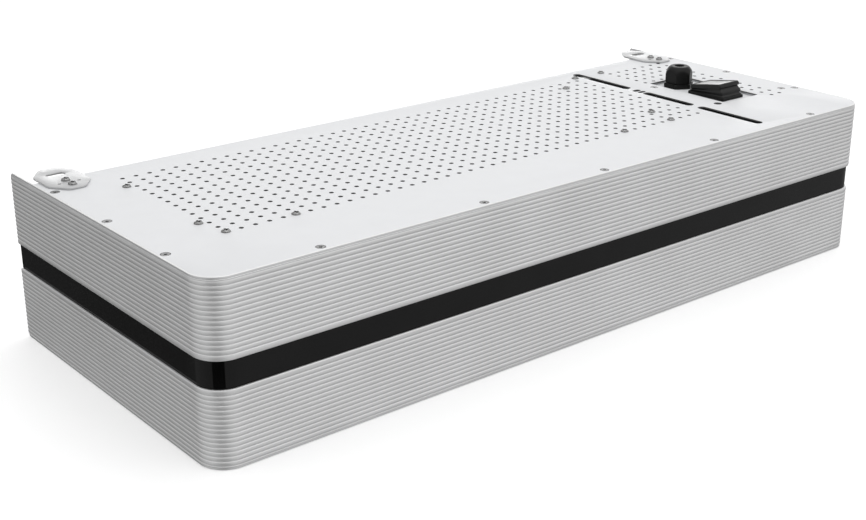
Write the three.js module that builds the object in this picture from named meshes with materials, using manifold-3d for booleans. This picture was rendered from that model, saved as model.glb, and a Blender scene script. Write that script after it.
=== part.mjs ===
// Wall battery unit: a long ribbed aluminium case with a gloss band, hung on a wall by two rear brackets.
// Millimetres, +Z up, front towards -Y, left end towards -X. The origin is the centre of the case's
// outline at the level of its underside.
import * as THREE from "three";
import { mergeVertices } from "three/addons/utils/BufferGeometryUtils.js";
import Module from "manifold-3d";

const wasm = await Module();
wasm.setup();

// ---------------------------------------------------------------- driving dimensions
const LENGTH = 900; // left to right
const DEPTH = 378.4; // front to the wall
const RIB_PITCH = 4.475;
const RIBS_PER_WRAP = 17;
const BAND_PITCHES = 6;
const HEIGHT = (2 * RIBS_PER_WRAP + BAND_PITCHES) * RIB_PITCH;
const CORNER = 27.6; // outer radius of the two front corners
const CORNER_STEPS = 4;
const SKIN = 2.4; // wrap wall over the ribs
const RIB_DEPTH = 1;
const RIM = 1.9; // plain strip beside each cover plate
const RIM_STEP = 0.4;
const RIM_TO_GROOVE = 3.4; // from a wrap's outer edge to its first groove
const FLANGE_REACH = 14; // inward flange that the cover plates are screwed to
const SHEET = 1.8; // cover plates and flanges
const GAP = 0.3; // clearance between pieces that lie against each other
const BAND_LOW = RIBS_PER_WRAP * RIB_PITCH;
const BAND_HIGH = (RIBS_PER_WRAP + BAND_PITCHES) * RIB_PITCH;
const BAND_INSET = 2.2;
const BAND_THICK = 3;
const BAND_LIP = 5; // how far the band reaches behind each wrap
const PLATE_REAR = 140.2; // rear edge of the cover plates; the side walls run on to the wall
const INSIDE_LOW = SHEET + GAP;
const INSIDE_HIGH = HEIGHT - SHEET - GAP;

const SLOT = { x: 280.4, width: 11, spans: [[-170.3, -79.4], [-69, 23.2], [32.2, 127.6]] };
const BRIDGE = { width: 2.2, at: [7.6, 15.4] }; // two tie bars across the middle slot
const RECESS = { x: 349.6, width: 60.3, front: -85.7, rear: 33.6, drop: 3.6 };
const TRAY = { left: 303, right: 435, front: -97, rear: 46, sheet: 1.5 };
const RECESS_FLOOR = HEIGHT - RECESS.drop;

const GLAND = { x: 346.7, y: 11.2, flats: 30, footFlats: 32.6, thread: 12.3, bore: 8.5, cableHole: 5.6 };
const SWITCH = { x: 349.2, y: -46, wide: 38, long: 55.6, flange: 3.6 };
const SWITCH_BOX = { wide: 26, long: 44, deep: 24 };
const PIVOT_Z = RECESS_FLOOR + 2.4;
const PIN_RADIUS = 1.6;
const ROCKER = { wide: 36.8, long: 46.6, top: 15.9, thick: 5, chamfer: 1.3 };
const ROCKER_TILT = THREE.MathUtils.degToRad(-10); // front end up at rest
const BELLOWS_WALL = 2;

const SCREW = { head: 4.5, shank: 2.2, length: 9, socket: 1.5, sides: 8 };
const EDGE = 8.1; // edge screws, from the outer face of the case
const BRACKET = { x: 420, y: 134.6, wide: 45.4, long: 72.6, cut: [14, 19], sheet: 2 };
const BRACKET_SLOT = { y: 148.3, wide: 20, tall: 9.5 };
const BRACKET_HOLES = { y: 117.6, reach: 10.3, radius: 1.8 };
const BRACKET_SCREW_Y = [110.2, 125.4];
const BULKHEADS = { left_bulkhead: -380.5, right_bulkhead: 220.5 };
const RAIL_Y = -96.5;

// ---------------------------------------------------------------- finishes
const finish = (color, roughness, metalness) =>
  new THREE.MeshStandardMaterial({ color, roughness, metalness });
const FINISH = {
  ribbedAluminium: finish(0xb9bbbe, 0.42, 0.9),
  glossBlack: finish(0x141416, 0.08, 0),
  whiteCoat: finish(0xe6e8ea, 0.55, 0),
  zincSteel: finish(0xa9abae, 0.45, 0.85),
  satinSteel: finish(0xc4c5c8, 0.4, 0.8),
  blackNylon: finish(0x17181a, 0.4, 0),
  blackRubber: finish(0x1b1b1c, 0.75, 0),
  moduleCase: finish(0x2b4a6b, 0.5, 0),
  copper: finish(0xb8734a, 0.35, 1),
  circuitBoard: finish(0x1f5a3a, 0.6, 0),
  greyPlastic: finish(0x8d9196, 0.6, 0),
};

// ---------------------------------------------------------------- solids
function solidOf(geometry) {
  const bare = geometry.clone();
  bare.deleteAttribute("normal");
  bare.deleteAttribute("uv");
  const merged = mergeVertices(bare, 1e-4);
  return new wasm.Manifold(
    new wasm.Mesh({
      numProp: 3,
      vertProperties: merged.attributes.position.array,
      triVerts: new Uint32Array(merged.index.array),
    }),
  );
}

function geometryOf(solid) {
  const made = solid.getMesh();
  const geometry = new THREE.BufferGeometry();
  geometry.setAttribute("position", new THREE.BufferAttribute(made.vertProperties, 3));
  geometry.setIndex(new THREE.BufferAttribute(made.triVerts, 1));
  return geometry;
}

const joined = (first, ...others) => others.reduce((sum, other) => sum.add(other), first);
const without = (first, ...others) => others.reduce((rest, other) => rest.subtract(other), first);

function block(x0, x1, y0, y1, z0, z1) {
  const box = new THREE.BoxGeometry(x1 - x0, y1 - y0, z1 - z0);
  return solidOf(box.translate((x0 + x1) / 2, (y0 + y1) / 2, (z0 + z1) / 2));
}

const centredBlock = (x, y, wide, long, z0, z1) =>
  block(x - wide / 2, x + wide / 2, y - long / 2, y + long / 2, z0, z1);

// A flat outline raised from z0 to z1, with an optional chamfer on both of its rims.
function slab(shape, z0, z1, chamfer = 0, curveSegments = 4) {
  const options = { depth: z1 - z0 - 2 * chamfer, bevelEnabled: chamfer > 0, curveSegments };
  Object.assign(options, { bevelSegments: 1, bevelSize: chamfer, bevelThickness: chamfer });
  return solidOf(new THREE.ExtrudeGeometry(shape, options).translate(0, 0, z0 + chamfer));
}

// A turned piece: the profile is a list of [radius, z], from the bottom up its outside.
function turned(x, y, profile, sides = 16) {
  const points = profile.map(([radius, z]) => new THREE.Vector2(radius, z));
  const lathe = new THREE.LatheGeometry(points, sides).rotateX(Math.PI / 2);
  return solidOf(lathe.translate(x, y, 0));
}

const disc = (x, y, radius, z0, z1, sides = 16) =>
  turned(x, y, [[0, z0], [radius, z0], [radius, z1], [0, z1]], sides);

function hexagon(x, y, flats, z0, z1) {
  const corner = flats / Math.sqrt(3);
  const shape = new THREE.Shape();
  for (let i = 0; i < 6; i++) {
    const angle = (i * Math.PI) / 3;
    shape[i ? "lineTo" : "moveTo"](x + corner * Math.cos(angle), y + corner * Math.sin(angle));
  }
  return slab(shape, z0, z1);
}

// A rectangle with its corners cut off.
function cutCornerShape(x, y, wide, long, across, along = across) {
  const [left, right, front, rear] = [x - wide / 2, x + wide / 2, y - long / 2, y + long / 2];
  const shape = new THREE.Shape();
  shape.moveTo(left + across, front);
  shape.lineTo(right - across, front);
  shape.lineTo(right, front + along);
  shape.lineTo(right, rear - along);
  shape.lineTo(right - across, rear);
  shape.lineTo(left + across, rear);
  shape.lineTo(left, rear - along);
  shape.lineTo(left, front + along);
  return shape;
}

function roundEndedSlot(x0, x1, y0, y1, z0, z1) {
  const radius = Math.min(x1 - x0, y1 - y0) / 2;
  const shape = new THREE.Shape();
  shape.absarc(x0 + radius, y0 + radius, radius, Math.PI, 1.5 * Math.PI);
  shape.absarc(x1 - radius, y0 + radius, radius, 1.5 * Math.PI, 2 * Math.PI);
  shape.absarc(x1 - radius, y1 - radius, radius, 0, 0.5 * Math.PI);
  shape.absarc(x0 + radius, y1 - radius, radius, 0.5 * Math.PI, Math.PI);
  return slab(shape, z0, z1, 0, 2);
}

// ---------------------------------------------------------------- the case's plan
// The line round the left, front and right of the case, `inset` inside its outer face, from the left
// wall's rear end to the right wall's. Its stations are the ends of the straights and the corners' steps.
class CasePlan extends THREE.Curve {
  constructor(inset = 0) {
    super();
    this.stations = [{ x: -LENGTH / 2 + inset, y: DEPTH / 2, heading: Math.PI }];
    for (const [side, start] of [[-1, Math.PI], [1, 1.5 * Math.PI]]) {
      for (let i = 0; i <= CORNER_STEPS; i++) {
        const angle = start + (i / CORNER_STEPS) * (Math.PI / 2);
        this.stations.push({
          x: side * (LENGTH / 2 - CORNER) + (CORNER - inset) * Math.cos(angle),
          y: -DEPTH / 2 + CORNER + (CORNER - inset) * Math.sin(angle),
          heading: angle,
        });
      }
    }
    this.stations.push({ x: LENGTH / 2 - inset, y: DEPTH / 2, heading: 2 * Math.PI });
    this.steps = this.stations.length - 1;
  }
  station(u) {
    return this.stations[Math.round(u * this.steps)];
  }
  getPointAt(u, target = new THREE.Vector3()) {
    return target.set(this.station(u).x, this.station(u).y, 0);
  }
  getTangentAt(u, target = new THREE.Vector3()) {
    const { heading } = this.station(u);
    return target.set(-Math.sin(heading), Math.cos(heading), 0);
  }
}

// A section given as [z, depth behind the outer face], carried round the case.
function wrapped(section) {
  const path = new CasePlan();
  const shape = new THREE.Shape(section.map(([z, depth]) => new THREE.Vector2(-z, depth)));
  return solidOf(new THREE.ExtrudeGeometry(shape, { steps: path.steps, extrudePath: path }));
}

// The cover plates' outline: the case's plan, `inset` inside it, closed straight across at the rear.
function coverShape(inset) {
  const { stations } = new CasePlan(inset);
  return new THREE.Shape(stations.map(({ x, y }) => new THREE.Vector2(x, Math.min(y, PLATE_REAR))));
}

// ---------------------------------------------------------------- case pieces
// The ribbed section from the band's edge to the cover plate's rim, measured from the rim's edge inwards.
function wrapSection() {
  const tall = BAND_LOW;
  const crestHalf = 0.28 * RIB_PITCH;
  const section = [[0, SKIN], [0, RIM_STEP], [RIM, RIM_STEP]];
  for (let i = 0; i < RIBS_PER_WRAP - 1; i++) {
    const groove = RIM_TO_GROOVE + i * RIB_PITCH;
    section.push([groove - crestHalf, 0], [groove, RIB_DEPTH], [groove + crestHalf, 0]);
  }
  section.push([tall, 0], [tall, SKIN]);
  const flange = SHEET + GAP;
  section.push([flange + SHEET, SKIN], [flange + SHEET, FLANGE_REACH]);
  section.push([flange, FLANGE_REACH], [flange, SKIN]);
  return section;
}

function ribbedWrap(rimZ, direction) {
  const section = wrapSection().map(([rise, depth]) => [rimZ + direction * rise, depth]);
  const flangeZ = rimZ + direction * (SHEET + GAP + SHEET / 2);
  const openRear = block(
    -LENGTH / 2 + SKIN, LENGTH / 2 - SKIN, PLATE_REAR, DEPTH / 2 + 1, flangeZ - SHEET, flangeZ + SHEET,
  );
  return without(wrapped(section), openRear);
}

function glossBand() {
  const face = [BAND_LOW + GAP, BAND_HIGH - GAP];
  const front = SKIN + GAP;
  const back = BAND_INSET + BAND_THICK;
  return wrapped([
    [face[0] - BAND_LIP, front], [face[0], front], [face[0], BAND_INSET],
    [face[1], BAND_INSET], [face[1], front], [face[1] + BAND_LIP, front],
    [face[1] + BAND_LIP, back], [face[0] - BAND_LIP, back],
  ]);
}

function topPlate() {
  const under = HEIGHT - SHEET;
  const cuts = SLOT.spans.map(([front, rear]) =>
    roundEndedSlot(SLOT.x - SLOT.width / 2, SLOT.x + SLOT.width / 2, front, rear, under - 1, HEIGHT + 1),
  );
  const window = centredBlock(
    RECESS.x, (RECESS.front + RECESS.rear) / 2,
    RECESS.width, RECESS.rear - RECESS.front, under - 1, HEIGHT + 1,
  );
  const bridges = BRIDGE.at.map((y) =>
    centredBlock(SLOT.x, y, SLOT.width + 1, BRIDGE.width, under, HEIGHT),
  );
  const plate = without(slab(coverShape(SKIN + GAP), under, HEIGHT), ...cuts, window);
  return without(joined(plate, ...bridges), ...SCREWS.map(screwSpace));
}

function rearPanel() {
  const inner = LENGTH / 2 - SKIN - GAP;
  const y = PLATE_REAR - SHEET;
  const web = block(-inner, inner, y, PLATE_REAR, INSIDE_LOW, INSIDE_HIGH);
  const notch = (side, reach, z0, z1) => {
    const [x0, x1] = [side * (LENGTH / 2), side * (LENGTH / 2 - reach - GAP)].sort((a, b) => a - b);
    return block(x0, x1, y - 1, PLATE_REAR + 1, z0, z1);
  };
  const notches = [-1, 1].flatMap((side) => [
    notch(side, FLANGE_REACH, INSIDE_HIGH - SHEET - GAP, HEIGHT),
    notch(side, FLANGE_REACH, 0, INSIDE_LOW + SHEET + GAP),
    notch(side, BAND_INSET + BAND_THICK, BAND_LOW - BAND_LIP - GAP, BAND_HIGH + BAND_LIP + GAP),
  ]);
  return without(web, ...notches);
}

// The shallow pan under the window: its floor carries the gland and the switch, and its upstand fills the
// space between the floor and the underside of the top plate.
function connectionTray() {
  const under = HEIGHT - SHEET - GAP;
  const floor = block(
    TRAY.left, TRAY.right, TRAY.front, TRAY.rear, RECESS_FLOOR - TRAY.sheet, RECESS_FLOOR,
  );
  const frame = block(TRAY.left, TRAY.right, TRAY.front, TRAY.rear, RECESS_FLOOR - 0.5, under);
  const middle = (RECESS.front + RECESS.rear) / 2;
  const opening = centredBlock(
    RECESS.x, middle, RECESS.width + 2, RECESS.rear - RECESS.front + 2, RECESS_FLOOR, HEIGHT,
  );
  const glandHole = disc(GLAND.x, GLAND.y, GLAND.thread + 0.4, RECESS_FLOOR - 5, HEIGHT, 20);
  const { wide, long } = SWITCH_BOX;
  const switchHole = centredBlock(
    SWITCH.x, SWITCH.y, wide + 2 * GAP, long + 2 * GAP, RECESS_FLOOR - 5, HEIGHT,
  );
  const tray = without(joined(floor, without(frame, opening)), glandHole, switchHole);
  return without(tray, ...SCREWS.map(screwSpace));
}

// A C-section sheet standing between the cover plates; the open side faces `side`.
function bulkhead(x, side) {
  const [reach, front, rear] = [18, -88, 120];
  const shape = new THREE.Shape();
  const points = [
    [0, INSIDE_LOW], [reach, INSIDE_LOW], [reach, INSIDE_LOW + SHEET], [SHEET, INSIDE_LOW + SHEET],
    [SHEET, INSIDE_HIGH - SHEET], [reach, INSIDE_HIGH - SHEET], [reach, INSIDE_HIGH], [0, INSIDE_HIGH],
  ];
  points.forEach(([u, z], i) => shape[i ? "lineTo" : "moveTo"](side * u, z));
  const sheet = new THREE.ExtrudeGeometry(shape, { depth: rear - front, bevelEnabled: false });
  sheet.rotateX(Math.PI / 2).translate(x - (side * reach) / 2, rear, 0);
  return without(solidOf(sheet), ...SCREWS.map(screwSpace));
}

// An angle under the top plate's front perforations that clamps the modules' front edges.
function clampRail() {
  const [left, right] = [BULKHEADS.left_bulkhead - 2, BULKHEADS.right_bulkhead + 2];
  const flat = block(left, right, RAIL_Y - 7, RAIL_Y + 7, INSIDE_HIGH - SHEET, INSIDE_HIGH);
  const leg = block(left, right, RAIL_Y - 7, RAIL_Y - 7 + SHEET, INSIDE_HIGH - 26, INSIDE_HIGH);
  return without(joined(flat, leg), ...SCREWS.map(screwSpace));
}

function electronicsBracket() {
  const [left, right, y] = [252, 325, 111.4];
  const flat = block(left, right, y - 8, y + 8, INSIDE_HIGH - SHEET, INSIDE_HIGH);
  const leg = block(left, right, y - 8, y - 8 + SHEET, 60, INSIDE_HIGH);
  return without(joined(flat, leg), ...SCREWS.map(screwSpace));
}

// ---------------------------------------------------------------- wall brackets
function wallBracket(side) {
  const x = side * BRACKET.x;
  const z0 = HEIGHT + GAP;
  const z1 = z0 + BRACKET.sheet;
  const shape = cutCornerShape(x, BRACKET.y, BRACKET.wide, BRACKET.long, ...BRACKET.cut);
  const { y, wide, tall } = BRACKET_SLOT;
  const slot = roundEndedSlot(x - wide / 2, x + wide / 2, y - tall / 2, y + tall / 2, z0 - 1, z1 + 1);
  const { reach, radius } = BRACKET_HOLES;
  const holes = [-reach, reach].map((way) => disc(x + way, BRACKET_HOLES.y, radius, z0 - 1, z1 + 1, 8));
  return without(slab(shape, z0, z1), slot, ...holes, ...SCREWS.map(screwSpace));
}

// ---------------------------------------------------------------- cable gland
const BODY_HEX = RECESS_FLOOR + 5.8;
const SPIGOT_TOP = RECESS_FLOOR + 18.6;
const SEAL_SEAT = RECESS_FLOOR + 8.6;
const NUT_ROOF = SPIGOT_TOP + 2.3;
const NUT_TOP = RECESS_FLOOR + 26.4;
const SPIGOT = 13;
const NUT_THREAD = 13.4;

const glandTurned = (profile, sides = 20) => turned(GLAND.x, GLAND.y, profile, sides);

function glandBody() {
  const { x, y, thread, bore, footFlats } = GLAND;
  const low = RECESS_FLOOR - 15;
  const barrel = glandTurned([
    [bore, low], [thread, low], [thread, BODY_HEX - 1], [SPIGOT, BODY_HEX - 1], [SPIGOT, SPIGOT_TOP],
    [10.8, SPIGOT_TOP], [10.8, SEAL_SEAT], [bore, SEAL_SEAT], [bore, low],
  ]);
  const hex = without(
    hexagon(x, y, footFlats, RECESS_FLOOR + GAP, BODY_HEX),
    disc(x, y, thread - 1, low, SPIGOT_TOP, 20),
  );
  return joined(barrel, hex);
}

const ring = (outer, inner, z0, z1) =>
  glandTurned([[inner, z0], [outer, z0], [outer, z1], [inner, z1], [inner, z0]]);

function glandDomeNut() {
  const { x, y, flats, cableHole } = GLAND;
  const low = BODY_HEX + GAP;
  const corner = flats / Math.sqrt(3);
  const dome = glandTurned([
    [0, low], [corner - 1, low], [corner + 0.5, low + 1.5], [corner + 0.5, NUT_TOP - 9.5],
    [corner - 1.5, NUT_TOP - 6], [14.5, NUT_TOP - 2.8], [12.6, NUT_TOP - 0.9], [10.6, NUT_TOP],
    [0, NUT_TOP],
  ], 24);
  const inside = glandTurned([
    [0, low - 1], [NUT_THREAD, low - 1], [NUT_THREAD, NUT_ROOF], [cableHole, NUT_ROOF],
    [cableHole, NUT_TOP + 1], [0, NUT_TOP + 1],
  ]);
  return without(hexagon(x, y, flats, low, NUT_TOP).intersect(dome), inside);
}

function glandLockNut() {
  const { x, y, thread, footFlats } = GLAND;
  const high = RECESS_FLOOR - TRAY.sheet - GAP;
  const low = high - 5.5;
  return without(hexagon(x, y, footFlats, low, high), disc(x, y, thread + 0.4, low - 1, high + 1, 20));
}

// ---------------------------------------------------------------- rocker switch
const FLANGE_TOP = RECESS_FLOOR + SWITCH.flange;

function switchBezel() {
  const { x, y, wide, long } = SWITCH;
  const round = 0.8;
  const outline = cutCornerShape(x, y, wide - 2 * round, long - 2 * round, 1.2);
  const flange = slab(outline, RECESS_FLOOR + GAP, FLANGE_TOP, round);
  const box = centredBlock(
    x, y, SWITCH_BOX.wide, SWITCH_BOX.long, RECESS_FLOOR - SWITCH_BOX.deep, FLANGE_TOP - 1,
  );
  const wall = 2.5;
  const cavity = centredBlock(
    x, y, SWITCH_BOX.wide - 2 * wall, SWITCH_BOX.long - 2 * wall, RECESS_FLOOR - 10, HEIGHT + 20,
  );
  return without(joined(box, flange), cavity, rockerPinSolid(PIN_RADIUS + GAP, SWITCH_BOX.wide - 1));
}

function rockerPinSolid(radius, length) {
  const pin = new THREE.CylinderGeometry(radius, radius, length, 12).rotateZ(Math.PI / 2);
  return solidOf(pin.translate(SWITCH.x, SWITCH.y, PIVOT_Z));
}

// The rocker in its level position, round the pivot: a chamfered slab with a hollow top, and a hub.
function rockerSolid() {
  const { wide, long, top, thick, chamfer } = ROCKER;
  const high = RECESS_FLOOR + top - PIVOT_Z;
  const outline = cutCornerShape(0, 0, wide - 2 * chamfer, long - 2 * chamfer, 1);
  const hub = block(-8, 8, -4, 4, -4, high - thick + 1);
  const [dishRadius, dishDepth] = [190, 0.9];
  const hollow = new THREE.CylinderGeometry(dishRadius, dishRadius, wide - 6, 160).rotateZ(Math.PI / 2);
  const dish = solidOf(hollow.translate(0, 0, high + dishRadius - dishDepth));
  const bore = new THREE.CylinderGeometry(PIN_RADIUS + GAP, PIN_RADIUS + GAP, wide, 12);
  const pinHole = solidOf(bore.rotateZ(Math.PI / 2));
  return without(joined(slab(outline, high - thick, high, chamfer), hub), dish, pinHole);
}

// The rubber sleeve between the flange and the tilted rocker: two hulls, one inside the other.
function switchBellows() {
  const underside = RECESS_FLOOR + ROCKER.top - ROCKER.thick - PIVOT_Z - GAP;
  const hull = (shrink, stretch) => {
    const foot = slab(
      cutCornerShape(SWITCH.x, SWITCH.y, 35 - shrink, 51.6 - shrink, 1.2),
      FLANGE_TOP + GAP - stretch, FLANGE_TOP + GAP + 0.4,
    );
    const crown = slab(
      cutCornerShape(0, 0, 33 - shrink, 42 - shrink, 1.2), underside - 0.4, underside + stretch,
    );
    const tilted = crown.rotate([THREE.MathUtils.radToDeg(ROCKER_TILT), 0, 0]);
    return wasm.Manifold.hull([foot, tilted.translate([SWITCH.x, SWITCH.y, PIVOT_Z])]);
  };
  return without(hull(0, 0), hull(2 * BELLOWS_WALL, 1));
}

function switchTerminals() {
  const { x, y } = SWITCH;
  const top = RECESS_FLOOR - SWITCH_BOX.deep - GAP;
  const base = centredBlock(x, y, SWITCH_BOX.wide - 1, SWITCH_BOX.long - 2, top - 5, top);
  const blades = [-1, 1].flatMap((i) => [-1, 1].map((j) =>
    centredBlock(x + 7 * i, y + 13 * j, 0.8, 6.3, top - 15, top - 4.5),
  ));
  return joined(base, ...blades);
}

// ---------------------------------------------------------------- battery and electronics
const MODULE = { wide: 190, long: 200, low: 6, high: 146, y: 12 };
const MODULE_X = [-274, -80, 114];
const POST = { reach: 78, y: 70, tall: 9 };

// A module: a tray of cells with a groove between each pair of cells and a terminal post at two corners.
function batteryModule(x) {
  const { wide, long, low, high, y } = MODULE;
  const cells = 8;
  const body = slab(cutCornerShape(x, y, wide, long, 4), low, high);
  const grooves = [];
  for (let i = 1; i < cells; i++) {
    const at = x - wide / 2 + (i * wide) / cells;
    for (const side of [-1, 1])
      grooves.push(centredBlock(at, y + side * (long / 2), 3, 4, low + 10, high - 10));
  }
  const posts = [-POST.reach, POST.reach].map((way) =>
    disc(x + way, y + POST.y, 7, high - 1, high + POST.tall, 10),
  );
  return joined(without(body, ...grooves), ...posts);
}

// A strap from one module's post to its neighbour's, raised over the gap between them.
function busbar(index) {
  const [from, to] = [MODULE_X[index] + POST.reach, MODULE_X[index + 1] - POST.reach];
  const z = MODULE.high + POST.tall + GAP;
  const shape = new THREE.Shape();
  const points = [[from - 9, 0], [from + 10, 0], [from + 14, 5], [to - 14, 5], [to - 10, 0], [to + 9, 0]];
  points.forEach(([x, rise], i) => shape[i ? "lineTo" : "moveTo"](x, z + rise));
  points.reverse().forEach(([x, rise]) => shape.lineTo(x, z + rise + 2));
  const strap = new THREE.ExtrudeGeometry(shape, { depth: 18, bevelEnabled: false });
  return solidOf(strap.rotateX(Math.PI / 2).translate(0, MODULE.y + POST.y + 9, 0));
}

function batteryMonitorBoard() {
  const x = BULKHEADS.right_bulkhead + 14;
  const board = block(x, x + 1.6, -80, 90, 30, 130);
  const chips = [-60, -20, 20, 60].map((y) => block(x + 1, x + 6, y - 9, y + 9, 50, 74));
  const plugs = [-50, 0, 50].map((y) => block(x + 1, x + 12, y - 14, y + 14, 108, 120));
  return joined(board, ...chips, ...plugs);
}

function powerBoard() {
  const [left, right, front, rear, z] = [262, 425, -150, 95, 22];
  const board = block(left, right, front, rear, z, z + 1.6);
  const capacitors = [0, 1, 2, 3].map((i) => disc(left + 24 + 34 * i, rear - 30, 15, z + 1, z + 46, 12));
  const chokes = [0, 1].map((i) => centredBlock(left + 40 + 70 * i, -20, 48, 44, z + 1, z + 38));
  const plugs = [0, 1, 2].map((i) => centredBlock(left + 30 + 50 * i, front + 12, 30, 16, z + 1, z + 18));
  return joined(board, ...capacitors, ...chokes, ...plugs);
}

function heatSink() {
  const [left, right, fins, low] = [262, 425, 15, 6];
  const shape = new THREE.Shape();
  shape.moveTo(left, 20);
  for (let i = 0; i < fins; i++) {
    const at = left + (i * (right - left - 4)) / (fins - 1);
    shape.lineTo(at, low);
    shape.lineTo(at + 4, low);
    shape.lineTo(at + 4, 16);
    if (i < fins - 1) shape.lineTo(left + ((i + 1) * (right - left - 4)) / (fins - 1), 16);
  }
  shape.lineTo(right, 20);
  const sink = new THREE.ExtrudeGeometry(shape, { depth: 150, bevelEnabled: false });
  return solidOf(sink.rotateX(Math.PI / 2).translate(0, 60, 0));
}

function terminalBlock() {
  const [x, y, z] = [RECESS.x + 52, GLAND.y, 92];
  const body = centredBlock(x, y, 22, 60, z, z + 34);
  const doors = [-1, 0, 1].flatMap((i) => [
    block(x - 12, x - 2, y + 18 * i - 5, y + 18 * i + 5, z + 4, z + 14),
    block(x - 4, x + 4, y + 18 * i - 4, y + 18 * i + 4, z + 26, z + 36),
  ]);
  const foot = centredBlock(x, y, 30, 66, z - 4, z + 1);
  return joined(without(body, ...doors), foot);
}

// ---------------------------------------------------------------- screws
const sideX = LENGTH / 2 - EDGE;
const frontY = -DEPTH / 2 + EDGE;
const countersunk = (name, x, y) => ({ name, x, y, z: HEIGHT, raised: false });
const panHead = (name, x, y, z = HEIGHT) => ({ name, x, y, z, raised: true });
const numbered = (stem, make, places) => places.map(([x, y], i) => make(`${stem}_${i + 1}`, x, y));

const SCREWS = [
  ...numbered("left_edge_screw", countersunk, [-112.3, -4.7, 103.3].map((y) => [-sideX, y])),
  ...numbered(
    "front_edge_screw", countersunk, [-329.4, -142.2, 18.9, 187.2, 355.5].map((x) => [x, frontY]),
  ),
  ...numbered("right_edge_screw", countersunk, [-92.9, 14.2, 110.5].map((y) => [sideX, y])),
  ...numbered("tray_screw", countersunk, [[309.6, -83], [309.6, 17.8], [427.1, -84.4]]),
  ...numbered("left_bulkhead_screw", panHead, [[-380.5, -62.3], [-380.5, 74.5]]),
  ...numbered("rail_screw", panHead, [-372.6, -297.9, 136.8, 212.4].map((x) => [x, RAIL_Y])),
  ...numbered("right_bulkhead_screw", panHead, [[220.5, -59.6], [220.5, 81.7]]),
  ...numbered("bracket_board_screw", panHead, [[265.5, 111.4], [311.4, 111.4]]),
  ...[-1, 1].flatMap((side) =>
    numbered(side < 0 ? "left_bracket_screw" : "right_bracket_screw",
      (name, x, y) => panHead(name, x, y, HEIGHT + GAP + BRACKET.sheet),
      BRACKET_SCREW_Y.map((y) => [side * BRACKET.x, y])),
  ),
];

function screwSolid({ x, y, z, raised }) {
  const { head, shank, length, socket, sides } = SCREW;
  const tip = HEIGHT - length;
  const profile = raised
    ? [[0, tip], [shank, tip], [shank, z + 0.2], [head, z + 0.2], [head - 0.5, z + 1.7],
      [socket + 0.8, z + 2.6], [socket, z + 2.6], [socket, z + 1.2], [0, z + 1.2]]
    : [[0, tip], [shank, tip], [shank, z - 2.3], [head, z - 0.1], [socket, z - 0.1],
      [socket, z - 1.4], [0, z - 1.4]];
  return turned(x, y, profile, sides);
}

// The hole a screw needs: its shank with clearance, and its countersink where it has one.
function screwSpace({ x, y, z, raised }) {
  const { head, shank, length, sides } = SCREW;
  const wide = shank + GAP;
  const tip = HEIGHT - length - 3;
  const profile = raised
    ? [[0, tip], [wide, tip], [wide, z + 1], [0, z + 1]]
    : [[0, tip], [wide, tip], [wide, z - 2.3], [head + 0.4, z], [head + 0.4, z + 1], [0, z + 1]];
  return turned(x, y, profile, sides);
}

// ---------------------------------------------------------------- the assembly
const battery = new THREE.Group();

function add(name, solid, material, parent = battery) {
  const mesh = new THREE.Mesh(geometryOf(solid), material);
  mesh.name = name;
  parent.add(mesh);
  return mesh;
}

const drilled = (solid) => without(solid, ...SCREWS.map(screwSpace));
add("upper_ribbed_wrap", drilled(ribbedWrap(HEIGHT, -1)), FINISH.ribbedAluminium);
add("lower_ribbed_wrap", ribbedWrap(0, 1), FINISH.ribbedAluminium);
add("gloss_band", glossBand(), FINISH.glossBlack);
add("top_plate", topPlate(), FINISH.whiteCoat);
add("bottom_plate", slab(coverShape(SKIN + GAP), 0, SHEET), FINISH.whiteCoat);
add("rear_panel", rearPanel(), FINISH.zincSteel);
add("connection_tray", connectionTray(), FINISH.whiteCoat);
add("left_bulkhead", bulkhead(BULKHEADS.left_bulkhead, -1), FINISH.zincSteel);
add("right_bulkhead", bulkhead(BULKHEADS.right_bulkhead, 1), FINISH.zincSteel);
add("module_clamp_rail", clampRail(), FINISH.zincSteel);
add("electronics_bracket", electronicsBracket(), FINISH.zincSteel);
add("left_wall_bracket", wallBracket(-1), FINISH.satinSteel);
add("right_wall_bracket", wallBracket(1), FINISH.satinSteel);

add("gland_body", glandBody(), FINISH.blackNylon);
const sealTop = SPIGOT_TOP + 0.4;
const slipRing = ring(12.8, GLAND.cableHole + 0.2, sealTop + GAP, NUT_ROOF - GAP);
add("gland_seal", ring(10.5, GLAND.cableHole, SEAL_SEAT + GAP, sealTop), FINISH.blackRubber);
add("gland_slip_ring", slipRing, FINISH.blackNylon);
add("gland_dome_nut", glandDomeNut(), FINISH.blackNylon);
add("gland_lock_nut", glandLockNut(), FINISH.blackNylon);

add("switch_bezel", switchBezel(), FINISH.blackNylon);
add("rocker_pin", rockerPinSolid(PIN_RADIUS, SWITCH_BOX.wide - 1.8), FINISH.zincSteel);
add("switch_terminals", switchTerminals(), FINISH.copper);
const rocker = add("switch_rocker", rockerSolid(), FINISH.blackRubber);
rocker.position.set(SWITCH.x, SWITCH.y, PIVOT_Z);
rocker.rotation.x = ROCKER_TILT;
add("switch_bellows", switchBellows(), FINISH.blackRubber);

MODULE_X.forEach((x, i) => add(`battery_module_${i + 1}`, batteryModule(x), FINISH.moduleCase));
for (let i = 0; i < MODULE_X.length - 1; i++) add(`busbar_${i + 1}`, busbar(i), FINISH.copper);
add("battery_monitor_board", batteryMonitorBoard(), FINISH.circuitBoard);
add("power_board", powerBoard(), FINISH.circuitBoard);
add("heat_sink", heatSink(), FINISH.ribbedAluminium);
add("mains_terminal_block", terminalBlock(), FINISH.greyPlastic);

const fasteners = new THREE.Group();
battery.add(fasteners);
for (const screw of SCREWS) add(screw.name, screwSolid(screw), FINISH.zincSteel, fasteners);

export default battery;
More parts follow.
